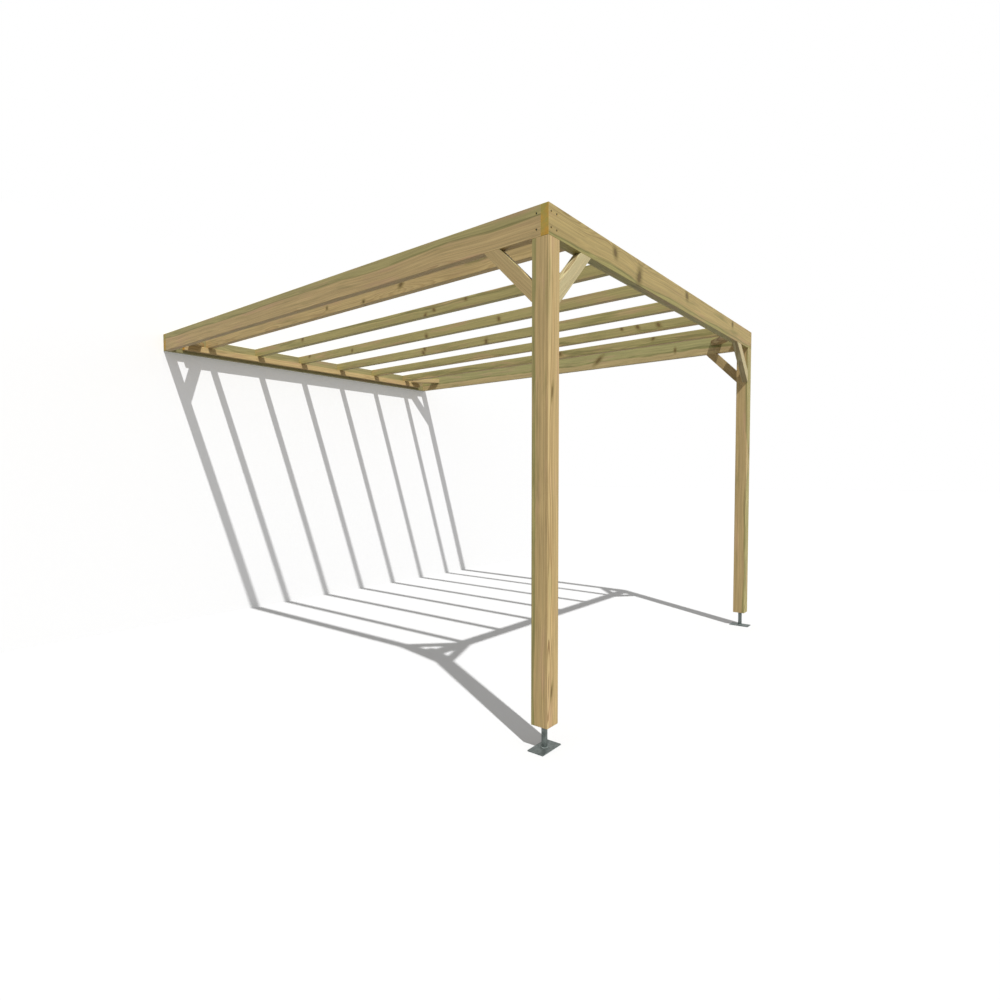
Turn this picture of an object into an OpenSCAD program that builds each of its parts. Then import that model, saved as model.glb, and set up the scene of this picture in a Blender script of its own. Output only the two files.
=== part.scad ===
// Lean-to pergola: a flat softwood frame on two front posts, with its fourth
// side carried by a ledger board that is bolted to a wall.
//
// Millimetres. The origin is the centre of the ledger's back face, the face that
// meets the wall. +Y points into the wall, +Z is up and X runs along the wall,
// so left is -X as seen from the front of the pergola.

/* [Frame] */
// Overall width of the frame, measured along the wall
frame_w = 3215; // [2400:5:4500]
// Projection from the wall to the outer face of the front beam
frame_d = 4145; // [2400:5:5200]
// Height from the ground to the top of the beams
frame_h = 2610; // [2100:5:3200]

/* [Timber sections] */
// Height of the four edge beams, one of which is the wall ledger
beam_h = 150; // [135:1:220]
// Thickness of beams, rafters, bearers and braces, all cut from one board stock
board_t = 45; // [35:1:54]
// Side of the square posts
post_w = 95; // [80:1:140]
// Height of the rafters
rafter_h = 75; // [60:1:90]
// Height of the bearers that the rafter ends rest on
bearer_h = 50; // [30:1:55]
// Width of the braces' broad face
brace_w = 70; // [45:1:95]

/* [Braces and spacing] */
// Length of each brace's outer edge, from point to point
brace_l = 420; // [340:5:600]
// Clear gap from the outer point of a flat corner brace to the first rafter
brace_gap = 12; // [5:1:60]
// Clear gap between a post's inner face and the end of a bearer
bearer_gap = 48; // [10:1:90]

/* [Post feet] */
// Height of the posts' end grain above the ground
foot_h = 120; // [60:5:200]
// Diameter of the round stem under each post
stem_d = 30; // [20:1:48]
// Long side of the ground plate
plate_l = 160; // [110:5:220]
// Short side of the ground plate
plate_w = 90; // [80:5:140]
// Thickness of the ground plate
plate_t = 6; // [4:1:12]

/* [Hidden] */
// Every size below follows from the ones above.
half_w = frame_w / 2;
top_z = beam_h / 2;
under_z = -beam_h / 2;
ground_z = top_z - frame_h;
front_y = -frame_d;
side_l = frame_d - 2 * board_t;

// Posts: the head is cut away on its two outer sides, so that the beams lap
// round a square tenon that rises to the roof line.
post_foot_z = ground_z + foot_h;
tenon_w = post_w - board_t;
post_x = half_w - post_w / 2;
post_y = front_y + post_w / 2;

// Rafters stand on the bearers with their tops level with the beams.
rafter_z = top_z - rafter_h;
bearer_z = rafter_z - bearer_h;
bearer_l = frame_w - 2 * (post_w + bearer_gap);

// A 45 degree brace: the leg is what its outer edge covers along each member.
brace_leg = brace_l / sqrt(2);
brace_cut = brace_w * sqrt(2);

// Six rafters, spread evenly between the flat corner braces of the two sides.
rafter_count = 6;
edge_gap = brace_leg + brace_gap;
first_x = -half_w + board_t + edge_gap + board_t / 2;
pitch = -2 * first_x / (rafter_count - 1);

// A board laid along X, given by its lowest corner and its size.
module board(corner, size) {
    translate(corner) cube(size);
}

// One brace drawn in its own plane. The corner that it ties is the origin, the
// two members lie along +X and +Y, and the thickness goes up +Z.
module brace() {
    linear_extrude(height = board_t)
        polygon([
            [brace_leg - brace_cut, 0],
            [brace_leg, 0],
            [0, brace_leg],
            [0, brace_leg - brace_cut]
        ]);
}

// The post is drawn for the left side, with its outer faces on -X and -Y.
module post() {
    translate([-half_w, front_y, post_foot_z])
        cube([post_w, post_w, under_z - post_foot_z]);
    translate([-half_w + board_t, front_y + board_t, under_z - 1])
        cube([tenon_w, tenon_w, beam_h + 1]);
}

// A knee brace below the front beam, flush with the beam's outer face.
module front_brace() {
    translate([-half_w + post_w, front_y + board_t, under_z])
        rotate([90, 0, 0])
        mirror([0, 1, 0])
        brace();
}

// A knee brace below the left side beam, flush with the beam's outer face.
module side_brace() {
    translate([-half_w, front_y + post_w, under_z])
        rotate([90, 0, 90])
        mirror([0, 1, 0])
        brace();
}

// A flat brace across the corner of the side beam and the ledger. It lies on
// the wall bearer and its ends bear on the two inner faces.
module wall_brace() {
    translate([-half_w + board_t, -board_t, rafter_z])
        mirror([0, 1, 0])
        brace();
}

// The same flat brace at the front, on the front bearer and behind the front beam.
module corner_brace() {
    translate([-half_w + board_t, front_y + board_t, rafter_z])
        brace();
}

// The stem runs from the ground plate up to the post's lower end grain.
module foot_stem() {
    translate([-post_x, post_y, ground_z + plate_t])
        cylinder(h = foot_h - plate_t, d = stem_d, $fn = 48);
}

// The ground plates are turned a quarter turn from each other.
module foot_plate(size_x, size_y) {
    translate([-post_x - size_x / 2, post_y - size_y / 2, ground_z])
        cube([size_x, size_y, plate_t]);
}

module rafter(i) {
    board([first_x + i * pitch - board_t / 2, front_y + board_t, rafter_z],
        [board_t, side_l, rafter_h]);
}

module wall_ledger() {
    color("#9b9469") board([-half_w, -board_t, under_z], [frame_w, board_t, beam_h]);
}

module front_beam() {
    color("#beaa78") board([-half_w, front_y, under_z], [frame_w, board_t, beam_h]);
}

module side_beam_left() {
    color("#a58e68") board([-half_w, front_y + board_t, under_z], [board_t, side_l, beam_h]);
}

module side_beam_right() {
    color("#a58e68") mirror([1, 0, 0])
        board([-half_w, front_y + board_t, under_z], [board_t, side_l, beam_h]);
}

module wall_bearer() {
    color("#c0b186") board([-bearer_l / 2, -2 * board_t, bearer_z],
        [bearer_l, board_t, bearer_h]);
}

module front_bearer() {
    color("#8f8659") board([-bearer_l / 2, front_y + board_t, bearer_z],
        [bearer_l, board_t, bearer_h]);
}

module rafter_1() { color("#9a8f63") rafter(0); }
module rafter_2() { color("#a2956b") rafter(1); }
module rafter_3() { color("#9a8f63") rafter(2); }
module rafter_4() { color("#a2956b") rafter(3); }
module rafter_5() { color("#9a8f63") rafter(4); }
module rafter_6() { color("#a2956b") rafter(5); }

module post_left() { color("#b09a6c") post(); }
module post_right() { color("#b09a6c") mirror([1, 0, 0]) post(); }

module front_brace_left() { color("#b5a67c") front_brace(); }
module front_brace_right() { color("#b5a67c") mirror([1, 0, 0]) front_brace(); }
module side_brace_left() { color("#a89468") side_brace(); }
module side_brace_right() { color("#a89468") mirror([1, 0, 0]) side_brace(); }
module wall_brace_left() { color("#a2956b") wall_brace(); }
module wall_brace_right() { color("#a2956b") mirror([1, 0, 0]) wall_brace(); }

module corner_brace_left() { color("#a2956b") corner_brace(); }
module corner_brace_right() { color("#a2956b") mirror([1, 0, 0]) corner_brace(); }

module foot_stem_left() { color("#5c605e") foot_stem(); }
module foot_stem_right() { color("#5c605e") mirror([1, 0, 0]) foot_stem(); }
module foot_plate_left() { color("#666c6a") foot_plate(plate_l, plate_w); }
module foot_plate_right() { color("#666c6a") mirror([1, 0, 0]) foot_plate(plate_w, plate_l); }

wall_ledger();
front_beam();
side_beam_left();
side_beam_right();
wall_bearer();
front_bearer();
rafter_1();
rafter_2();
rafter_3();
rafter_4();
rafter_5();
rafter_6();
post_left();
post_right();
front_brace_left();
front_brace_right();
side_brace_left();
side_brace_right();
wall_brace_left();
wall_brace_right();
corner_brace_left();
corner_brace_right();
foot_stem_left();
foot_stem_right();
foot_plate_left();
foot_plate_right();
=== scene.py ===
# %% [markdown]
# # A lean-to pergola, finished as planed and pressure-treated softwood
#
# The frame of the pergola is already drawn to size: beams, rafters, bearers, posts,
# braces and steel feet. This script keeps every one of those solids and gives it the
# things that a drawing lacks: softened arrises, screws, welds, timber and steel.
# One unit is one metre, +Z is up, and the wall that carries the pergola is at Y = 0.

# %% Load the frame
import math
import random

import bmesh
import bpy
from mathutils import Matrix, Vector


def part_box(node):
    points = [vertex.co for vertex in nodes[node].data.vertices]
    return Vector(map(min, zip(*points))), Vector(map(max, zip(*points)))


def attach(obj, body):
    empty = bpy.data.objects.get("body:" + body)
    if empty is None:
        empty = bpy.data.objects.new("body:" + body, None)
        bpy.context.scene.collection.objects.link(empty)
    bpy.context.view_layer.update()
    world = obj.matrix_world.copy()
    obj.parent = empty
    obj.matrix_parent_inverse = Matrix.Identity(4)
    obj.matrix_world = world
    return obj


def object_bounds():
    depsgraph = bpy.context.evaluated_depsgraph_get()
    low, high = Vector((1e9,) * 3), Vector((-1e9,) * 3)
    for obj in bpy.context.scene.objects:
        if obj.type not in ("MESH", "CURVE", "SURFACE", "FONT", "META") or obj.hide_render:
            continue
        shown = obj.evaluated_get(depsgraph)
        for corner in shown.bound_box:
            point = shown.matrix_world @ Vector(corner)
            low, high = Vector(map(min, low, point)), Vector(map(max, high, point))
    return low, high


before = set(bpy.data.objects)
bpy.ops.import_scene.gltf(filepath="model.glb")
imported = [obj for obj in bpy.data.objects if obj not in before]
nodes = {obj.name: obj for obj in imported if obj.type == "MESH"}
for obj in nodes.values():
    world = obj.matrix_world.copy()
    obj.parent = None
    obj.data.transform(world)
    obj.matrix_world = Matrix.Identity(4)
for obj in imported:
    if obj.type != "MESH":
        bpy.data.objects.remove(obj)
cad_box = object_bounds()
print("solids in the frame:", len(nodes))

# %% [markdown]
# ## Reading places from the frame
#
# Every position below is worked out from the frame's own solids.

# %% Corners that the later steps measure from
MM = 0.001


def corners(name):
    """The lowest and highest corner of one solid, as vectors."""
    low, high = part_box(name)
    return Vector(low), Vector(high)


beam_low, beam_high = corners("front_beam")
post_low, post_high = corners("post_left")
left_x = beam_low.x
right_x = beam_high.x
front_y = beam_low.y
ground_z = corners("foot_plate_left")[0].z
board_thick = beam_high.y - beam_low.y
print("width", round(right_x - left_x, 4), "board", round(board_thick, 4))

# %% [markdown]
# ## The camera
#
# A pergola is seen by a person who stands in front of one corner, so the camera is at
# the height of a chest and looks past the near post towards the wall. A short lens
# takes in the whole roof and gives the strong perspective of a building seen close up.

# %% Camera
EYE = Vector((-3.951, -5.721, -1.204))
YAW = math.radians(51.495)
PITCH = math.radians(2.199)
LENS_MM = 21.46
SENSOR_MM = 36.0
FARTHEST = 200.0

camera = bpy.data.objects.new("camera", bpy.data.cameras.new("camera"))
bpy.context.collection.objects.link(camera)
camera.location = EYE
camera.rotation_euler = (math.pi / 2 - PITCH, 0.0, -YAW)
camera.data.sensor_width = SENSOR_MM
camera.data.lens = LENS_MM
camera.data.clip_end = FARTHEST
bpy.context.scene.camera = camera
print("eye above the ground:", round(EYE.z - ground_z, 3), "m")

# %% [markdown]
# ## Two helpers for node trees
#
# A material here is a small program made of nodes. One function adds a node, sets it
# and links it, and another starts a reusable group. Colours are written as sRGB hex
# values, the way that a paint chart gives them, and one function turns them linear.

# %% Helpers for materials
def linear(hex_colour):
    """An sRGB hex colour as the linear RGBA value that a shader wants."""
    values = []
    for start in (1, 3, 5):
        part = int(hex_colour[start:start + 2], 16) / 255
        if part <= 0.04045:
            values.append(part / 12.92)
        else:
            values.append(((part + 0.055) / 1.055) ** 2.4)
    return (*values, 1.0)


def add(tree, kind, inputs=None, **settings):
    """Adds one node. An input is either a value or the socket that feeds it."""
    made = tree.nodes.new("ShaderNode" + kind)
    for name, value in settings.items():
        setattr(made, name, value)
    for key, value in (inputs or {}).items():
        if isinstance(value, bpy.types.NodeSocket):
            tree.links.new(value, made.inputs[key])
        else:
            made.inputs[key].default_value = value
    return made


def start_group(name, takes, gives):
    """A new node group with its sockets, and its input and output nodes."""
    group = bpy.data.node_groups.new(name, "ShaderNodeTree")
    for direction, sockets in (("INPUT", takes), ("OUTPUT", gives)):
        for title, kind in sockets.items():
            group.interface.new_socket(title, in_out=direction, socket_type="NodeSocket" + kind)
    return group, group.nodes.new("NodeGroupInput").outputs, group.nodes.new("NodeGroupOutput")


print("helpers ready, mid grey is", round(linear("#808080")[0], 3))

# %% [markdown]
# ## Timber, part one: a branch
#
# A knot is the root of a branch, cut through by the saw. A branch grows straight out
# from the heart of the tree, so it is drawn as a round spoke in the solid timber, and
# it then shows on every face that crosses it: round where the face cuts it square, and
# long where the face runs along it. The group measures how near a point is to one
# spoke and adds that to what the spokes before it found, so that spokes can be chained.

# %% Group: one branch in the solid timber
SWELL_FADE = -0.55


def make_branch_group():
    """Near is 1 at a knot's rim and 0 at its middle. Swell pushes the rings outward."""
    group, given, result = start_group(
        "softwood branch",
        {"Point": "Vector", "Root": "Vector", "Direction": "Vector", "Radius": "Float",
         "Near": "Float", "Swell": "Float"},
        {"Near": "Float", "Swell": "Float"})
    arm = add(group, "VectorMath", {0: given["Point"], 1: given["Root"]},
              operation="SUBTRACT").outputs[0]
    reach = add(group, "VectorMath", {0: arm, 1: given["Direction"]},
                operation="DOT_PRODUCT").outputs["Value"]
    forward = add(group, "Math", {0: reach, 1: 0.0}, operation="MAXIMUM").outputs[0]
    spoke = add(group, "VectorMath", {0: given["Direction"], "Scale": forward},
                operation="SCALE").outputs[0]
    offset = add(group, "VectorMath", {0: arm, 1: spoke}, operation="SUBTRACT").outputs[0]
    distance = add(group, "VectorMath", {0: offset}, operation="LENGTH").outputs["Value"]
    share = add(group, "Math", {0: distance, 1: given["Radius"]}, operation="DIVIDE").outputs[0]
    near = add(group, "Math", {0: share, 1: given["Near"]}, operation="MINIMUM").outputs[0]
    fall = add(group, "Math", {0: share, 1: SWELL_FADE}, operation="MULTIPLY").outputs[0]
    fade = add(group, "Math", {0: fall}, operation="EXPONENT").outputs[0]
    push = add(group, "Math", {0: fade, 1: given["Radius"], 2: given["Swell"]},
               operation="MULTIPLY_ADD").outputs[0]
    group.links.new(near, result.inputs["Near"])
    group.links.new(push, result.inputs["Swell"])
    return group


branch_group = make_branch_group()
print("branch group nodes:", len(branch_group.nodes))

# %% [markdown]
# ## Timber, part two: the log
#
# The timber is planed spruce or pine, pressure-treated with a green copper salt. Each
# board is cut from a log, so its grain is drawn as a log: rings round a wandering
# heart. A board's faces, edges and ends then agree with each other, because they all
# cut the same rings. The salt soaks into the pale sapwood and turns it olive green,
# and hardly enters the heartwood, which stays a pinkish tan. So the green and the tan
# also meet along a ring, with a darker green line where the salt stopped.

# %% Colours of the treated timber
# Heart and sap each have a pale spring tone and a dark tone for the summer ring.
HEART_PALE = linear("#cfb47d")
HEART_RING = linear("#9c7b4c")
SAP_PALE = linear("#b9ab70")
SAP_RING = linear("#8a7e48")
SALT_LINE = linear("#75743c")
PINK = linear("#cba47d")
KNOT_STAIN = linear("#8c7843")
KNOT_BODY = linear("#70582e")
KNOT_RIM = linear("#5a4822")
END_TONE = linear("#ecae34")
END_SALT = linear("#c2af4c")
print("heartwood", [round(part, 2) for part in HEART_PALE[:3]])

# %% Real sizes of the pattern
# One year of growth. Slow northern softwood has rings of two to five millimetres.
RING = 4.2 * MM
# A band of lighter or darker grain, and how much longer than wide such a band is.
STREAK = 9.0 * MM
LONG_GRAIN = 60.0
# A real fibre is about 0.04 mm wide, too fine to show, so it is drawn about thirty
# times as coarse. It still gives the eye a fine line along the grain.
FIBRE = 1.3 * MM
# A patch of colour where the wood took up more or less of the salt.
PATCH = 60.0 * MM
PATCH_LONG = 450.0 * MM
# How often and how far the heart of the tree bends from side to side.
BENDS_PER_METRE = 1.3
BEND = 34.0 * MM
# How far a streak pushes the rings in or out.
RING_SWAY = 1.6 * MM
print("a ring is", round(RING / MM, 1), "mm and a streak", round(STREAK / MM, 1), "mm")

# %% Where a point lies in the grain
PATCH_SCALE = (1 / PATCH_LONG, 1 / PATCH, 1 / PATCH)
MID_GREY = (0.5, 0.5, 0.5)


def find_grain(group, given):
    """Bends the point with the tree, and reads three patterns of different fineness."""
    parts = add(group, "SeparateXYZ", {0: given["Point"]}).outputs
    walk = add(group, "Math", {0: parts["X"], 1: BENDS_PER_METRE, 2: given["Seed"]},
               operation="MULTIPLY_ADD").outputs[0]
    wander = add(group, "TexNoise", {"W": walk, "Scale": 1.0, "Detail": 1.5},
                 noise_dimensions="1D").outputs["Color"]
    wander = add(group, "VectorMath", {0: wander, 1: MID_GREY}, operation="SUBTRACT").outputs[0]
    wander = add(group, "VectorMath", {0: wander, 1: (0.0, BEND, BEND)},
                 operation="MULTIPLY").outputs[0]
    bent = add(group, "VectorMath", {0: given["Point"], 1: wander}, operation="ADD").outputs[0]

    # The seed moves the patterns along, so that no two boards look the same.
    shifted = add(group, "CombineXYZ", {"X": given["Seed"]}).outputs[0]
    placed = add(group, "VectorMath", {0: bent, 1: shifted}, operation="ADD").outputs[0]
    patch_at = add(group, "VectorMath", {0: placed, 1: PATCH_SCALE},
                   operation="MULTIPLY").outputs[0]
    patch = add(group, "TexNoise", {"Vector": patch_at, "Scale": 1.0, "Detail": 3.0,
                                    "Roughness": 0.55}).outputs
    streak_at = add(group, "VectorMath",
                    {0: placed, 1: (1 / (STREAK * LONG_GRAIN), 1 / STREAK, 1 / STREAK)},
                    operation="MULTIPLY").outputs[0]
    streak = add(group, "TexNoise", {"Vector": streak_at, "Scale": 1.0, "Detail": 3.0,
                                     "Roughness": 0.6}).outputs["Fac"]
    fibre_at = add(group, "VectorMath",
                   {0: placed, 1: (1 / (FIBRE * LONG_GRAIN * 2), 1 / FIBRE, 1 / FIBRE)},
                   operation="MULTIPLY").outputs[0]
    fibre = add(group, "TexNoise", {"Vector": fibre_at, "Scale": 1.0, "Detail": 2.0,
                                    "Roughness": 0.6}).outputs["Fac"]
    return bent, patch, streak, fibre


print("the heart bends by up to", round(BEND / MM / 2), "mm to each side")

# %% [markdown]
# ### Rings
#
# A ring is a distance from the heart, counted in years. Growth is fast and pale in
# spring and slow and dark in late summer, so within a year the tone climbs slowly and
# then drops at once. Some summers were drier than others, so some rings are darker.

# %% Rings round the heart
SPRING_ENDS = 0.30
SUMMER_PEAK = 0.86
FAINTEST_YEAR = 0.25


def lay_rings(group, given, bent, streak):
    """The distance from the heart, and how dark the year's ring is there."""
    flat = add(group, "VectorMath", {0: bent, 1: (0.0, 1.0, 1.0)},
               operation="MULTIPLY").outputs[0]
    out = add(group, "VectorMath", {0: flat}, operation="LENGTH").outputs["Value"]
    out = add(group, "Math", {0: out, 1: given["Swell"]}, operation="SUBTRACT").outputs[0]
    sway = add(group, "MapRange", {"Value": streak, "To Min": -RING_SWAY,
                                   "To Max": RING_SWAY}).outputs[0]
    out = add(group, "Math", {0: out, 1: sway}, operation="ADD").outputs[0]

    count = add(group, "Math", {0: out, 1: given["Ring"]}, operation="DIVIDE").outputs[0]
    year = add(group, "Math", {0: count}, operation="FLOOR").outputs[0]
    season = add(group, "Math", {0: count}, operation="FRACT").outputs[0]
    growth = add(group, "ValToRGB", {"Fac": season})
    growth.color_ramp.interpolation = "EASE"
    growth.color_ramp.elements[0].position = SPRING_ENDS
    growth.color_ramp.elements[0].color = (0, 0, 0, 1)
    growth.color_ramp.elements[1].position = SUMMER_PEAK
    growth.color_ramp.elements[1].color = (1, 1, 1, 1)
    growth.color_ramp.elements.new(1.0).color = (0, 0, 0, 1)

    year_seed = add(group, "Math", {0: year, 1: given["Seed"]}, operation="ADD").outputs[0]
    weather = add(group, "TexWhiteNoise", {"W": year_seed},
                  noise_dimensions="1D").outputs["Value"]
    weather = add(group, "MapRange", {"Value": weather, "To Min": FAINTEST_YEAR,
                                      "To Max": 1.0}).outputs[0]
    ring = add(group, "Math", {0: growth.outputs["Color"], 1: weather},
               operation="MULTIPLY").outputs[0]
    ring = add(group, "Math", {0: ring, 1: given["Contrast"]}, operation="MULTIPLY").outputs[0]
    return out, ring


print("the dark part of a ring is", round((1 - SPRING_ENDS) * RING / MM, 1), "mm wide")

# %% [markdown]
# ### Heartwood, sapwood and the salt
#
# Sapwood begins at one distance from the heart. The salt follows the grain, so this
# border is ragged: patches shift it slowly and streaks shift it quickly. Just at the
# border the salt collects in a darker line.

# %% Where the green salt went
UNEVEN = 11.0 * MM
RAGGED = 15.0 * MM
SOAK_START = -4.0 * MM
SOAK_FULL = 5.0 * MM
LINE_WIDTH = 8.0 * MM
LINE_TONE = 0.7
BLUSH = 0.6
BLUSH_SPAN = (0.52, 0.74)
STAIN = 0.5
STAIN_SPAN = (0.55, 0.80)


def soak_salt(group, given, out, ring, patch, streak):
    """The timber's colour before light and dark streaks, with its green sapwood."""
    uneven = add(group, "MapRange", {"Value": patch["Fac"], "To Min": -UNEVEN,
                                     "To Max": UNEVEN}).outputs[0]
    edge = add(group, "Math", {0: out, 1: given["Heart"]}, operation="SUBTRACT").outputs[0]
    edge = add(group, "Math", {0: edge, 1: uneven}, operation="ADD").outputs[0]
    ragged = add(group, "MapRange", {"Value": streak, "To Min": -RAGGED,
                                     "To Max": RAGGED}).outputs[0]
    edge = add(group, "Math", {0: edge, 1: ragged}, operation="ADD").outputs[0]
    sap = add(group, "MapRange", {"Value": edge, "From Min": SOAK_START,
                                  "From Max": SOAK_FULL},
              interpolation_type="SMOOTHSTEP").outputs[0]
    line = add(group, "Math", {0: edge}, operation="ABSOLUTE").outputs[0]
    line = add(group, "MapRange", {"Value": line, "From Min": 0.0, "From Max": LINE_WIDTH,
                                   "To Min": LINE_TONE, "To Max": 0.0},
               interpolation_type="SMOOTHSTEP").outputs[0]

    pale = add(group, "Mix", {0: sap, 6: HEART_PALE, 7: SAP_PALE}, data_type="RGBA").outputs[2]
    dark = add(group, "Mix", {0: sap, 6: HEART_RING, 7: SAP_RING}, data_type="RGBA").outputs[2]
    wood = add(group, "Mix", {0: ring, 6: pale, 7: dark}, data_type="RGBA").outputs[2]

    # The patch pattern has three channels that don't follow each other: pink, stain
    # and, for the ends, salt.
    patches = add(group, "SeparateColor", {0: patch["Color"]}).outputs
    blush = add(group, "MapRange", {"Value": patches["Green"], "From Min": BLUSH_SPAN[0],
                                    "From Max": BLUSH_SPAN[1], "To Max": BLUSH},
                interpolation_type="SMOOTHSTEP").outputs[0]
    wood = add(group, "Mix", {0: blush, 6: wood, 7: PINK}, data_type="RGBA").outputs[2]
    stain = add(group, "MapRange", {"Value": patches["Blue"], "From Min": STAIN_SPAN[0],
                                    "From Max": STAIN_SPAN[1], "To Max": STAIN},
                interpolation_type="SMOOTHSTEP").outputs[0]
    stain = add(group, "Math", {0: stain, 1: line}, operation="MAXIMUM").outputs[0]
    wood = add(group, "Mix", {0: stain, 6: wood, 7: SALT_LINE}, data_type="RGBA").outputs[2]
    return wood, patches


print("the salt fades over", round((SOAK_FULL - SOAK_START) / MM, 1), "mm")

# %% [markdown]
# ### Knots, ends and arrises
#
# These marks go on top of the colour. A knot has a stained halo, a dark rim of bark and
# a brown middle. Cut ends drink more salt than any face, so they look deeper and
# yellower. The planed arrises are paler: partly rubbed by hands and straps, and partly a
# painted highlight where a rounded edge catches the light.

# %% Marks of knots
KNOT_RAGGED = 0.7
HALO_START = 0.9
HALO_REACH = 3.0
HALO_TONE = 0.80
BODY_START = 0.6
BODY_REACH = 1.15
BODY_TONE = 0.85
RIM_PLACE = 0.93
RIM_WIDTH = 0.25
RIM_TONE = 0.35


def mark_knots(group, given, wood, streak):
    """Nearness is counted in knot radii, so that a big knot gets a big halo."""
    near = add(group, "MapRange", {"Value": streak, "To Min": -KNOT_RAGGED,
                                   "To Max": KNOT_RAGGED}).outputs[0]
    near = add(group, "Math", {0: given["Near"], 1: near}, operation="ADD").outputs[0]
    halo = add(group, "MapRange", {"Value": near, "From Min": HALO_START, "From Max": HALO_REACH,
                                   "To Min": HALO_TONE, "To Max": 0.0},
               interpolation_type="SMOOTHSTEP").outputs[0]
    wood = add(group, "Mix", {0: halo, 6: wood, 7: KNOT_STAIN}, data_type="RGBA").outputs[2]
    body = add(group, "MapRange", {"Value": near, "From Min": BODY_START, "From Max": BODY_REACH,
                                   "To Min": BODY_TONE, "To Max": 0.0},
               interpolation_type="SMOOTHSTEP").outputs[0]
    wood = add(group, "Mix", {0: body, 6: wood, 7: KNOT_BODY}, data_type="RGBA").outputs[2]
    rim = add(group, "Math", {0: near, 1: RIM_PLACE}, operation="SUBTRACT").outputs[0]
    rim = add(group, "Math", {0: rim}, operation="ABSOLUTE").outputs[0]
    rim = add(group, "MapRange", {"Value": rim, "From Min": 0.0, "From Max": RIM_WIDTH,
                                  "To Min": RIM_TONE, "To Max": 0.0},
              interpolation_type="SMOOTHSTEP").outputs[0]
    return add(group, "Mix", {0: rim, 6: wood, 7: KNOT_RIM}, data_type="RGBA").outputs[2]


print("a knot's halo reaches", HALO_REACH, "times its radius")

# %% Marks of saw and hands, and a painted edge highlight
END_SHARE = 0.8
END_SALT_SPAN = (0.4, 0.62)
END_RINGS = 0.45
# How much paler the arrises are: partly wear, partly a painted highlight of the rounded edge.
RUBBED_AND_LIT_EDGE = 0.28


def mark_ends(group, given, wood, ring, patches):
    """Deeper colour on the saw-cut ends, and paler arrises: partly wear, partly a painted edge
    highlight.
    """
    soak = add(group, "MapRange", {"Value": patches["Red"], "From Min": END_SALT_SPAN[0],
                                   "From Max": END_SALT_SPAN[1]}).outputs[0]
    soaked = add(group, "Mix", {0: soak, 6: END_TONE, 7: END_SALT}, data_type="RGBA").outputs[2]
    end = add(group, "Math", {0: given["End"], 1: END_SHARE}, operation="MULTIPLY").outputs[0]
    wood = add(group, "Mix", {0: end, 6: wood, 7: soaked}, data_type="RGBA").outputs[2]
    ends = add(group, "Math", {0: ring, 1: given["End"]}, operation="MULTIPLY").outputs[0]
    ends = add(group, "Math", {0: ends, 1: END_RINGS}, operation="MULTIPLY").outputs[0]
    wood = add(group, "Mix", {0: ends, 6: wood, 7: HEART_RING}, data_type="RGBA").outputs[2]
    # Painted edge highlight, partly real wear: the arrises are mixed towards the pale heartwood
    # colour.
    worn_and_lit = add(group, "Math", {0: given["Arris"], 1: RUBBED_AND_LIT_EDGE}, operation="MULTIPLY").outputs[0]
    return add(group, "Mix", {0: worn_and_lit, 6: wood, 7: HEART_PALE}, data_type="RGBA").outputs[2]


print("end grain takes", END_SHARE, "of the deeper colour")

# %% [markdown]
# ### The whole log
#
# One group puts the steps in their order and is then shared by every board. Planed
# softwood is matt with a faint sheen along the fibres, so its roughness is high and
# follows them. Summer wood is harder and stands a little proud after planing, which
# gives the eye a slight ripple across the grain.

# %% Group: the log
PATTERN_SPAN = (0.3, 0.7)
STREAK_TONES = (0.80, 1.16)
FIBRE_TONES = (0.93, 1.06)
RING_PROUD = 0.5
SMOOTHEST = 0.55
ROUGHEST = 0.80


def make_log_group():
    """Colour, height and roughness of a point in a log, measured from its heart."""
    group, given, result = start_group(
        "pressure-treated softwood",
        {"Point": "Vector", "Near": "Float", "Swell": "Float", "Ring": "Float",
         "Heart": "Float", "Seed": "Float", "End": "Float", "Arris": "Float",
         "Tone": "Vector", "Contrast": "Float"},
        {"Color": "Color", "Height": "Float", "Roughness": "Float"})
    bent, patch, streak, fibre = find_grain(group, given)
    out, ring = lay_rings(group, given, bent, streak)
    wood, patches = soak_salt(group, given, out, ring, patch, streak)

    # Light and dark streaks along the grain, then the fine fibres.
    low, high = PATTERN_SPAN
    shade = add(group, "MapRange", {"Value": streak, "From Min": low, "From Max": high,
                                    "To Min": STREAK_TONES[0],
                                    "To Max": STREAK_TONES[1]}).outputs[0]
    grain = add(group, "MapRange", {"Value": fibre, "From Min": low, "From Max": high,
                                    "To Min": FIBRE_TONES[0],
                                    "To Max": FIBRE_TONES[1]}).outputs[0]
    shade = add(group, "Math", {0: shade, 1: grain}, operation="MULTIPLY").outputs[0]
    wood = add(group, "VectorMath", {0: wood, "Scale": shade}, operation="SCALE").outputs[0]

    wood = mark_knots(group, given, wood, streak)
    wood = mark_ends(group, given, wood, ring, patches)
    wood = add(group, "VectorMath", {0: wood, 1: given["Tone"]}, operation="MULTIPLY").outputs[0]

    height = add(group, "Math", {0: ring, 1: RING_PROUD}, operation="MULTIPLY").outputs[0]
    height = add(group, "Math", {0: height, 1: fibre}, operation="ADD").outputs[0]
    rough = add(group, "MapRange", {"Value": fibre, "To Min": SMOOTHEST,
                                    "To Max": ROUGHEST}).outputs[0]
    group.links.new(wood, result.inputs["Color"])
    group.links.new(height, result.inputs["Height"])
    group.links.new(rough, result.inputs["Roughness"])
    return group


log_group = make_log_group()
print("log group nodes:", len(log_group.nodes))

# %% [markdown]
# ## Timber, part three: a board from the log
#
# A board's material says where in a log the board was cut. It turns a point of the
# frame into the board's own three directions: along the grain, across the broad face,
# and out of the broad face. The heart's place is given from the board's middle, so a
# board with its heart far away shows straight lines, and one near it shows arches.

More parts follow.
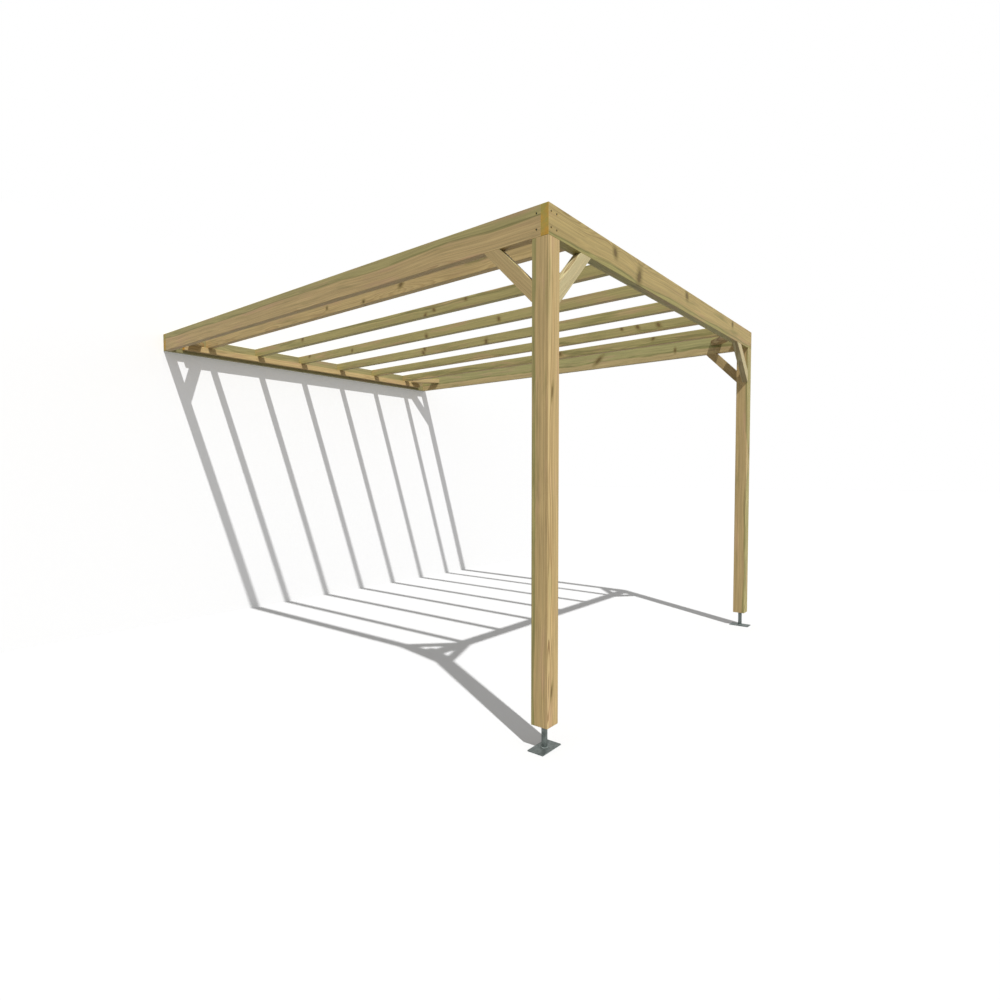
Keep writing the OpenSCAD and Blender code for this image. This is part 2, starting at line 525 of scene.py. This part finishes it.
# %% A board's own material
# A face is end grain when it looks along the grain by more than this share. The
# slanted cuts of the braces count too.
SQUARE_CUT = 0.45
CUT_BLEND = 0.2
ARRIS_WIDTH = 5.0 * MM
NO_KNOT = 9.0
FURROW = 0.4 * MM
FURROW_SHOW = 0.5
WOOD_IOR = 1.5


def half_extent(name, direction):
    """Half the size of a solid along one direction."""
    reaches = [direction.dot(vertex.co) for vertex in nodes[name].data.vertices]
    return (max(reaches) - min(reaches)) / 2


def make_timber(name, along, facing, heart, heart_radius, seed, knots=(), ring=RING,
                contrast=0.8, tone=(1.0, 1.0, 1.0)):
    """Planed treated softwood for one solid, cut from its own place in a log.

    A knot is its place along and across the board, its radius and its lean.
    """
    low, high = corners(name)
    middle = (low + high) / 2
    along = Vector(along).normalized()
    facing = Vector(facing).normalized()
    across = facing.cross(along)
    half = [half_extent(name, direction) for direction in (along, across, facing)]

    material = bpy.data.materials.new("treated_softwood_" + name)
    material.use_nodes = True
    tree = material.node_tree
    tree.nodes.clear()
    place = add(tree, "TexCoord").outputs["Object"]
    arm = add(tree, "VectorMath", {0: place, 1: tuple(middle)}, operation="SUBTRACT").outputs[0]
    measures = []
    for direction in (along, across, facing):
        measures.append(add(tree, "VectorMath", {0: arm, 1: tuple(direction)},
                            operation="DOT_PRODUCT").outputs["Value"])
    point = add(tree, "CombineXYZ", {0: measures[0], 1: measures[1], 2: measures[2]}).outputs[0]
    point = add(tree, "VectorMath", {0: point, 1: (0.0, *heart)}, operation="SUBTRACT").outputs[0]

    near = NO_KNOT
    swell = 0.0
    for knot_along, knot_across, radius, lean in knots:
        direction = Vector((0.0, knot_across - heart[0], half[2] - heart[1]))
        direction.x = lean * direction.length
        branch = add(tree, "Group", node_tree=branch_group)
        for title, value in (("Point", point), ("Near", near), ("Swell", swell)):
            if isinstance(value, bpy.types.NodeSocket):
                tree.links.new(value, branch.inputs[title])
            else:
                branch.inputs[title].default_value = value
        branch.inputs["Root"].default_value = (knot_along - direction.x, 0.0, 0.0)
        branch.inputs["Direction"].default_value = direction.normalized()
        branch.inputs["Radius"].default_value = radius
        near = branch.outputs["Near"]
        swell = branch.outputs["Swell"]

    # The saw-cut ends are where the surface looks along the grain.
    normal = add(tree, "NewGeometry").outputs["Normal"]
    looking = add(tree, "VectorMath", {0: normal, 1: tuple(along)},
                  operation="DOT_PRODUCT").outputs["Value"]
    looking = add(tree, "Math", {0: looking}, operation="ABSOLUTE").outputs[0]
    end = add(tree, "MapRange", {"Value": looking, "From Min": SQUARE_CUT,
                                 "From Max": SQUARE_CUT + CUT_BLEND}).outputs[0]

    # An arris is where the point is close to both a broad face and a narrow one.
    depths = []
    for measure, extent in ((measures[1], half[1]), (measures[2], half[2])):
        size = add(tree, "Math", {0: measure}, operation="ABSOLUTE").outputs[0]
        depths.append(add(tree, "MapRange", {"Value": size, "From Min": extent - ARRIS_WIDTH,
                                             "From Max": extent}).outputs[0])
    arris = add(tree, "Math", {0: depths[0], 1: depths[1]}, operation="MINIMUM").outputs[0]

    log = add(tree, "Group", node_tree=log_group)
    for title, value in (("Point", point), ("Near", near), ("Swell", swell), ("End", end),
                         ("Arris", arris), ("Ring", ring), ("Heart", heart_radius),
                         ("Seed", seed), ("Tone", tone), ("Contrast", contrast)):
        if isinstance(value, bpy.types.NodeSocket):
            tree.links.new(value, log.inputs[title])
        else:
            log.inputs[title].default_value = value
    bump = add(tree, "Bump", {"Height": log.outputs["Height"], "Strength": FURROW_SHOW,
                              "Distance": FURROW}).outputs[0]
    shader = add(tree, "BsdfPrincipled", {
        "Base Color": log.outputs["Color"], "Roughness": log.outputs["Roughness"],
        "Normal": bump, "IOR": WOOD_IOR})
    add(tree, "OutputMaterial", {"Surface": shader.outputs[0]})
    solid = nodes[name]
    solid.data.materials.clear()
    solid.data.materials.append(material)


print("a straight cut counts as end grain above", SQUARE_CUT)

# %% [markdown]
# ## Which part of the log each board came from
#
# The outer faces of the beams and posts are what a visitor sees first, so their knots
# are placed one by one. The rafters are all alike, and chance with a fixed seed cuts
# each of them from its own place in the log.

# %% The four edge beams
make_timber("front_beam", (1, 0, 0), (0, -1, 0), heart=(0.075, -0.045), heart_radius=0.143,
            seed=3.1, contrast=0.7, tone=(0.79, 0.82, 0.71),
            knots=((-0.950, 0.030, 0.016, 0.3), (-0.650, -0.022, 0.020, -0.3),
                   (0.093, 0.040, 0.017, 0.3), (1.080, 0.040, 0.015, -0.2)))
make_timber("side_beam_left", (0, -1, 0), (-1, 0, 0), heart=(-0.075, 0.040),
            heart_radius=0.106, seed=11.7, contrast=0.9, tone=(0.95, 0.96, 0.97))
make_timber("side_beam_right", (0, -1, 0), (-1, 0, 0), heart=(-0.085, -0.030),
            heart_radius=0.088, seed=21.3, tone=(1.08, 1.18, 1.26),
            knots=((0.567, 0.005, 0.015, 1.0), (1.39, 0.0, 0.009, 0.0), (-0.05, 0.01, 0.014, 1.0)))
make_timber("wall_ledger", (1, 0, 0), (0, -1, 0), heart=(0.020, -0.090),
            heart_radius=0.050, seed=33.9, tone=(0.70, 0.75, 0.84),
            knots=((-0.20, 0.0, 0.012, 0.2),))
print("edge beams finished: 4")

# %% Bearers and posts
# The posts show wider rings, as timber from faster-grown trees does.
POST_RING = 6.0 * MM

make_timber("wall_bearer", (1, 0, 0), (0, -1, 0), heart=(0.000, -0.080), heart_radius=0.12,
            seed=41.2, contrast=0.5)
make_timber("front_bearer", (1, 0, 0), (0, 1, 0), heart=(0.000, -0.080), heart_radius=0.05,
            seed=47.6)
make_timber("post_left", (0, 0, 1), (0, -1, 0), heart=(0.035, 0.085), heart_radius=0.116,
            seed=52.4, ring=POST_RING, contrast=1.7, tone=(1.11, 1.13, 1.14),
            knots=((0.37, 0.012, 0.006, 3.6), (-1.07, 0.010, 0.006, 3.6)))
make_timber("post_right", (0, 0, 1), (0, -1, 0), heart=(0.035, -0.095), heart_radius=0.138,
            seed=58.8, ring=POST_RING, contrast=1.3, tone=(1.08, 1.10, 1.12),
            knots=((0.20, -0.020, 0.008, 4.0),))
print("post rings are", round(POST_RING / MM, 1), "mm wide")

# %% Eight short braces
# For each brace: the direction of its grain, and the way its broad face looks.
BRACES = {
    "front_brace_left": ((1, 0, 1), (0, -1, 0)),
    "front_brace_right": ((-1, 0, 1), (0, -1, 0)),
    "side_brace_left": ((0, 1, 1), (-1, 0, 0)),
    "side_brace_right": ((0, 1, 1), (1, 0, 0)),
    "wall_brace_left": ((1, 1, 0), (0, 0, 1)),
    "wall_brace_right": ((-1, 1, 0), (0, 0, 1)),
    "corner_brace_left": ((-1, 1, 0), (0, 0, 1)),
    "corner_brace_right": ((1, 1, 0), (0, 0, 1)),
}
PALE_TONE = (1.05, 1.24, 1.50)
TAN_TONE = (0.93, 0.96, 0.97)
for order, (name, (along, facing)) in enumerate(BRACES.items()):
    tone = PALE_TONE if "front" in name else TAN_TONE
    make_timber(name, along, facing, heart=(0.120, 0.010), heart_radius=0.20,
                seed=64.0 + 5.3 * order, contrast=1.2, tone=tone)
print("braces finished:", len(BRACES))

# %% The six rafters
RAFTERS = 6
KNOTS_EACH = 4
chance = random.Random(7)
for number in range(1, RAFTERS + 1):
    name = "rafter_%d" % number
    spots = [(chance.uniform(-1.9, 1.9), chance.uniform(-0.03, 0.03),
              chance.uniform(0.008, 0.014), chance.uniform(-0.9, 0.9)) for _ in range(KNOTS_EACH)]
    make_timber(name, (0, 1, 0), (-1, 0, 0),
                heart=(chance.uniform(-0.10, 0.10), chance.uniform(-0.12, -0.05)),
                heart_radius=chance.uniform(0.07, 0.13), knots=spots, contrast=0.6,
                seed=100.0 + 7.7 * number, tone=(1.04, 1.06, 1.05))
print("timber solids finished:", len([name for name in nodes if "foot" not in name]))

# %% [markdown]
# ## Softened arrises
#
# A planer for structural timber eases the long edges, so that they don't splinter.
# Each solid gets two modifiers: the first joins its separate faces into one skin, and
# the second rounds the edges. A modifier leaves the drawn solid itself as it was.

# %% Weld and bevel
TIMBER_EASE = 1.8 * MM
STEEL_EASE = 0.8 * MM
JOIN_WITHIN = 0.01 * MM
SHARP = math.radians(40)

for name, solid in nodes.items():
    skin = solid.modifiers.new("one skin", "WELD")
    skin.merge_threshold = JOIN_WITHIN
    ease = solid.modifiers.new("eased edges", "BEVEL")
    ease.width = STEEL_EASE if "foot" in name else TIMBER_EASE
    ease.segments = 2
    ease.limit_method = "ANGLE"
    ease.angle_limit = SHARP
print("eased edges:", TIMBER_EASE / MM, "mm on timber")

# %% [markdown]
# ## Galvanised steel
#
# The post feet are welded from mild steel plate and round bar, and dipped in molten
# zinc. New zinc is bright, but outdoors it turns to a dull dark grey within a season.
# The zinc freezes in flat crystals about a centimetre wide, the spangle, and each one
# reflects a little differently. A cell pattern of that size varies tone and roughness.

# %% Material: weathered galvanised steel
# Soft clouds where the zinc ran off thicker or thinner as the piece was lifted out.
CLOUD = 45.5 * MM
SPANGLE = 9.0 * MM
CRYSTAL_SHARE = 0.45
DULL = (0.48, 0.68)
ZINC_DARK = linear("#5c6361")
ZINC_PALE = linear("#7d8481")


def make_galvanised_steel():
    """Dull zinc with a faint spangle, rough enough to show no clear reflection."""
    material = bpy.data.materials.new("weathered_galvanised_steel")
    material.use_nodes = True
    tree = material.node_tree
    tree.nodes.clear()
    place = add(tree, "TexCoord").outputs["Object"]
    crystal = add(tree, "TexVoronoi", {"Vector": place, "Scale": 1 / SPANGLE,
                                       "Randomness": 1.0}).outputs["Color"]
    crystal = add(tree, "SeparateColor", {0: crystal}).outputs
    cloud = add(tree, "TexNoise", {"Vector": place, "Scale": 1 / CLOUD, "Detail": 5.0,
                                   "Roughness": 0.6}).outputs["Fac"]
    share = add(tree, "Math", {0: crystal["Red"], 1: CRYSTAL_SHARE, 2: cloud},
                operation="MULTIPLY_ADD").outputs[0]
    share = add(tree, "MapRange", {"Value": share, "From Min": 0.35, "From Max": 1.05}).outputs[0]
    colour = add(tree, "Mix", {0: share, 6: ZINC_DARK, 7: ZINC_PALE}, data_type="RGBA").outputs[2]
    rough = add(tree, "MapRange", {"Value": crystal["Green"], "To Min": DULL[0],
                                   "To Max": DULL[1]}).outputs[0]
    bump = add(tree, "Bump", {"Height": cloud, "Strength": 0.35, "Distance": 0.5 * MM}).outputs[0]
    shader = add(tree, "BsdfPrincipled", {"Base Color": colour, "Roughness": rough,
                                          "Normal": bump, "Metallic": 0.9})
    add(tree, "OutputMaterial", {"Surface": shader.outputs[0]})
    return material


galvanised = make_galvanised_steel()
for name, solid in nodes.items():
    if "foot" in name:
        solid.data.materials.clear()
        solid.data.materials.append(galvanised)
print("steel solids finished:", len([name for name in nodes if "foot" in name]))

# %% [markdown]
# ## Weld beads under the posts
#
# A round bar is joined to its plate by one run of weld all the way round. A real run
# is a row of small overlapping ripples, so the bead is a ring whose thickness goes up
# and down as it travels. Its section is a quarter circle that fills the corner.

# %% Weld bead
BEAD = 5.0 * MM
RIPPLE = 0.7 * MM
RIPPLES = 26
BEAD_TURNS = RIPPLES * 6
BEAD_ARC = 8
# How far the bead melts into the plate, and its inner and outer edge into the bar.
ROOTED = 0.2 * MM
INNER_BITE = 0.5 * MM
OUTER_BITE = 0.3 * MM


def make_bead(side):
    """A rippled fillet weld round the foot of one stem."""
    low, high = corners("foot_stem_" + side)
    centre = Vector(((low.x + high.x) / 2, (low.y + high.y) / 2, low.z))
    stem_radius = (high.x - low.x) / 2
    shape = bmesh.new()
    loops = []
    for turn in range(BEAD_TURNS):
        angle = 2 * math.pi * turn / BEAD_TURNS
        size = BEAD + RIPPLE * math.sin(RIPPLES * angle)
        inner = stem_radius - INNER_BITE
        loop = [shape.verts.new(centre + Vector((
            inner * math.cos(angle), inner * math.sin(angle), -ROOTED)))]
        for step in range(BEAD_ARC + 1):
            lift = math.pi / 2 * step / BEAD_ARC
            radius = stem_radius - OUTER_BITE + size * math.cos(lift)
            loop.append(shape.verts.new(centre + Vector((
                radius * math.cos(angle), radius * math.sin(angle),
                size * math.sin(lift) - ROOTED))))
        loops.append(loop)
    for turn, loop in enumerate(loops):
        after = loops[(turn + 1) % BEAD_TURNS]
        for step in range(len(loop)):
            beyond = (step + 1) % len(loop)
            shape.faces.new((loop[step], after[step], after[beyond], loop[beyond]))
    bmesh.ops.recalc_face_normals(shape, faces=shape.faces)
    mesh = bpy.data.meshes.new("weld_bead_" + side)
    shape.to_mesh(mesh)
    shape.free()
    mesh.polygons.foreach_set("use_smooth", [True] * len(mesh.polygons))
    mesh.materials.append(galvanised)
    bead = bpy.data.objects.new("weld_bead_" + side, mesh)
    bpy.context.collection.objects.link(bead)
    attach(bead, "root")
    return bead


for side in ("left", "right"):
    print(make_bead(side).name, "with", RIPPLES, "ripples")

# %% [markdown]
# ## Structural screws
#
# The beams lap round the head of each post and are fixed with screws. A countersunk
# head is pulled slightly below the face and tears a small cone in the soft timber. So
# each screw is a real head with a star recess, and a modifier cuts the cone for it.

# %% Where the screws go
HEAD = 4.6 * MM
HEAD_SINK = 0.8 * MM
CONE_MOUTH = 5.8 * MM
tenon_x = post_high.x - (post_high.x - post_low.x - board_thick) / 2
tenon_y = post_high.y - (post_high.y - post_low.y - board_thick) / 2
rim_x = left_x + board_thick / 2
ROW = beam_high.z / 2

# The front beam has two columns of screws at each end, one into the side beam and
# one into the post's head. Each side beam has one column, into the post's head.
screws = {"front_beam": [], "side_beam_left": [], "side_beam_right": []}
for level in (-ROW, ROW):
    for mirror in (-1, 1):
        for column in (rim_x, tenon_x):
            screws["front_beam"].append((Vector((-mirror * column, front_y, level)),
                                         Vector((0, -1, 0))))
    screws["side_beam_left"].append((Vector((left_x, tenon_y, level)), Vector((-1, 0, 0))))
    screws["side_beam_right"].append((Vector((right_x, tenon_y, level)), Vector((1, 0, 0))))
print("screws:", {name: len(places) for name, places in screws.items()})

# %% Material: passivated screw steel
# The coating is a thin chemical film, so the metal still shines through it dully.
SCREW_DARK = linear("#3a3a2c")
SCREW_PALE = linear("#5f5c45")
# Real specks of the coating are too fine to show, so they are drawn this coarse.
SPECK = 1.1 * MM


def make_screw_steel():
    """Green-brown coated steel, with fine specks that vary its tone and its shine."""
    material = bpy.data.materials.new("passivated_screw_steel")
    material.use_nodes = True
    tree = material.node_tree
    tree.nodes.clear()
    place = add(tree, "TexCoord").outputs["Object"]
    speck = add(tree, "TexNoise", {"Vector": place, "Scale": 1 / SPECK, "Detail": 2.0}).outputs["Fac"]
    colour = add(tree, "Mix", {0: speck, 6: SCREW_DARK, 7: SCREW_PALE},
                 data_type="RGBA").outputs[2]
    rough = add(tree, "MapRange", {"Value": speck, "To Min": 0.35, "To Max": 0.6}).outputs[0]
    shader = add(tree, "BsdfPrincipled", {"Base Color": colour, "Roughness": rough,
                                          "Metallic": 0.85})
    add(tree, "OutputMaterial", {"Surface": shader.outputs[0]})
    return material


screw_steel = make_screw_steel()
print("screw steel nodes:", len(screw_steel.node_tree.nodes))

# %% Screw heads and the cones that they sit in
STAR_POINTS = 6
STAR_RADIUS = 1.9 * MM
STAR_WAVE = 0.35 * MM
ROUND = 24


def ring_at(shape, depth, radius, wave):
    """A loop of points at one depth. The wave turns the circle into a star."""
    loop = []
    for step in range(ROUND):
        angle = 2 * math.pi * step / ROUND
        reach = radius + wave * math.cos(STAR_POINTS * angle)
        loop.append(shape.verts.new((reach * math.cos(angle), reach * math.sin(angle), depth)))
    return loop


def stack(profile):
    """One turned solid from rows of depth, radius and wave, with a cap at each end."""
    shape = bmesh.new()
    loops = [ring_at(shape, *row) for row in profile]
    for below, above in zip(loops, loops[1:]):
        for step in range(ROUND):
            beyond = (step + 1) % ROUND
            shape.faces.new((below[step], below[beyond], above[beyond], above[step]))
    shape.faces.new(list(reversed(loops[0])))
    shape.faces.new(loops[-1])
    bmesh.ops.recalc_face_normals(shape, faces=shape.faces)
    mesh = bpy.data.meshes.new("turned")
    shape.to_mesh(mesh)
    shape.free()
    return mesh


head_mesh = stack(((-5.0 * MM, 2.2 * MM, 0.0),
                   (-3.2 * MM, 2.6 * MM, 0.0),
                   (-0.5 * MM, HEAD - 0.2 * MM, 0.0),
                   (-0.15 * MM, HEAD, 0.0),
                   (0.0, HEAD - 0.35 * MM, 0.0),
                   (0.0, 2.9 * MM, 0.0),
                   (0.0, STAR_RADIUS, STAR_WAVE),
                   (-1.6 * MM, STAR_RADIUS, STAR_WAVE)))
cone_mesh = stack(((-6.5 * MM, 2.4 * MM, 0.0),
                   (-3.2 * MM, 3.0 * MM, 0.0),
                   (-0.5 * MM, HEAD + 0.35 * MM, 0.0),
                   (HEAD_SINK, CONE_MOUTH, 0.0),
                   (HEAD_SINK + 3 * MM, CONE_MOUTH, 0.0)))


def gather(name, mesh, places):
    """One object that holds a copy of a small mesh at every place."""
    shape = bmesh.new()
    for spot, outward in places:
        before = len(shape.verts)
        shape.from_mesh(mesh)
        shape.verts.ensure_lookup_table()
        turn = outward.to_track_quat("Z", "Y").to_matrix().to_4x4()
        move = Matrix.Translation(spot - outward * HEAD_SINK)
        bmesh.ops.transform(shape, matrix=move @ turn, verts=shape.verts[before:])
    joined = bpy.data.meshes.new(name)
    shape.to_mesh(joined)
    shape.free()
    made = bpy.data.objects.new(name, joined)
    bpy.context.collection.objects.link(made)
    return made


for name, places in screws.items():
    cutter = gather("cones_" + name, cone_mesh, places)
    cutter.hide_render = True
    cut = nodes[name].modifiers.new("screw cones", "BOOLEAN")
    cut.object = cutter
    cut.operation = "DIFFERENCE"
    cut.solver = "EXACT"
    heads = gather("screws_" + name, head_mesh, places)
    heads.data.materials.append(screw_steel)
    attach(heads, "root")
    print(heads.name, "holds", len(places), "screws")

# %% [markdown]
# ## The ground
#
# The pergola stands on a plain pale floor. It looks white to the camera and to
# reflections, and it sends back little light, as dry ground does, so the undersides of
# the rafters stay dark. It is not part of the pergola.

# %% Floor
FLOOR_SIZE = 120.0
SEEN_WHITE = 0.80
BOUNCE = 0.20


def make_floor():
    """A wide plane at the level of the foot plates."""
    mesh = bpy.data.meshes.new("floor")
    shape = bmesh.new()
    bmesh.ops.create_grid(shape, x_segments=4, y_segments=4, size=FLOOR_SIZE / 2)
    shape.to_mesh(mesh)
    shape.free()
    floor = bpy.data.objects.new("floor", mesh)
    bpy.context.collection.objects.link(floor)
    floor.location.z = ground_z
    material = bpy.data.materials.new("pale_floor")
    material.use_nodes = True
    tree = material.node_tree
    tree.nodes.clear()
    path = add(tree, "LightPath").outputs
    seen = add(tree, "Math", {0: path["Is Camera Ray"], 1: path["Is Glossy Ray"]},
               operation="MAXIMUM").outputs[0]
    seen = add(tree, "Math", {0: seen, 1: path["Is Transmission Ray"]},
               operation="MAXIMUM").outputs[0]
    tone = add(tree, "Mix", {0: seen, 6: (BOUNCE, BOUNCE, BOUNCE, 1.0),
                             7: (SEEN_WHITE, SEEN_WHITE, SEEN_WHITE, 1.0)},
               data_type="RGBA").outputs[2]
    matt = add(tree, "BsdfDiffuse", {"Color": tone})
    add(tree, "OutputMaterial", {"Surface": matt.outputs[0]})
    mesh.materials.append(material)
    return floor


floor = make_floor()
print("floor at", round(ground_z, 3), "m")

# %% [markdown]
# ## The wall behind
#
# A lean-to is half of a building, and its shadow falls on the wall that carries it. The
# wall is a white backdrop that only the camera sees, and only from the front, so it
# neither lights the timber nor hides the pergola from behind. It is not part of the pergola either.

# %% Backdrop wall
WALL_WIDTH = 9.0
WALL_HEIGHT = 3.4
WALL_GAP = 1.5 * MM
WALL_GLOW = 0.13


def make_wall():
    """A one-sided white panel just behind the ledger."""
    mesh = bpy.data.meshes.new("backdrop_wall")
    back = cad_box[1].y + WALL_GAP
    half = WALL_WIDTH / 2
    top = ground_z + WALL_HEIGHT
    mesh.from_pydata([(-half, back, ground_z), (half, back, ground_z), (half, back, top),
                      (-half, back, top)], [], [(0, 1, 2, 3)])
    wall = bpy.data.objects.new("backdrop_wall", mesh)
    bpy.context.collection.objects.link(wall)
    wall.visible_diffuse = False
    wall.visible_glossy = False
    wall.visible_transmission = False
    wall.visible_shadow = False
    material = bpy.data.materials.new("white_backdrop")
    material.use_nodes = True
    tree = material.node_tree
    tree.nodes.clear()
    matt = add(tree, "BsdfDiffuse", {"Color": (1.0, 1.0, 1.0, 1.0)})
    lift = add(tree, "Emission", {"Strength": WALL_GLOW})
    front = add(tree, "AddShader", {0: matt.outputs[0], 1: lift.outputs[0]})
    clear = add(tree, "BsdfTransparent")
    behind = add(tree, "NewGeometry").outputs["Backfacing"]
    panel = add(tree, "MixShader", {0: behind, 1: front.outputs[0], 2: clear.outputs[0]})
    add(tree, "OutputMaterial", {"Surface": panel.outputs[0]})
    mesh.materials.append(material)
    return wall


wall = make_wall()
print("wall panel", WALL_WIDTH, "by", WALL_HEIGHT, "m")

# %% [markdown]
# ## Daylight
#
# One wide lamp stands for the sun, high and behind the viewer's left shoulder, and the
# world gives an even light from the whole sky. The sky shows as white.

# %% Sun and sky
SUN_TRAVEL = Vector((0.32, 0.62, -1.0))
SUN_STRENGTH = 3.3
SUN_SOFTNESS = math.radians(0.8)
SKY_LIGHT = 0.42

sun = bpy.data.objects.new("sun", bpy.data.lights.new("sun", "SUN"))
bpy.context.collection.objects.link(sun)
sun.data.energy = SUN_STRENGTH
sun.data.angle = SUN_SOFTNESS
sun.rotation_euler = SUN_TRAVEL.to_track_quat("-Z", "Y").to_euler()

world = bpy.data.worlds.new("sky")
bpy.context.scene.world = world
world.use_nodes = True
sky = world.node_tree
sky.nodes.clear()
path = add(sky, "LightPath").outputs
seen = add(sky, "Math", {0: path["Is Camera Ray"], 1: path["Is Glossy Ray"]},
           operation="MAXIMUM").outputs[0]
seen = add(sky, "Math", {0: seen, 1: path["Is Transmission Ray"]},
           operation="MAXIMUM").outputs[0]
power = add(sky, "MapRange", {"Value": seen, "To Min": SKY_LIGHT, "To Max": 1.0}).outputs[0]
glow = add(sky, "Background", {"Color": (1.0, 1.0, 1.0, 1.0), "Strength": power})
add(sky, "OutputWorld", {"Surface": glow.outputs[0]})
bpy.context.scene.view_settings.view_transform = "Standard"
print("sun height above the horizon:",
      round(math.degrees(math.asin(-SUN_TRAVEL.normalized().z)), 1), "degrees")

# %% [markdown]
# ## The last step
#
# The scene is brought up to date before the script ends. The finished pergola has to
# stay inside the box of the drawn frame.

# %% Finish
bpy.context.view_layer.update()
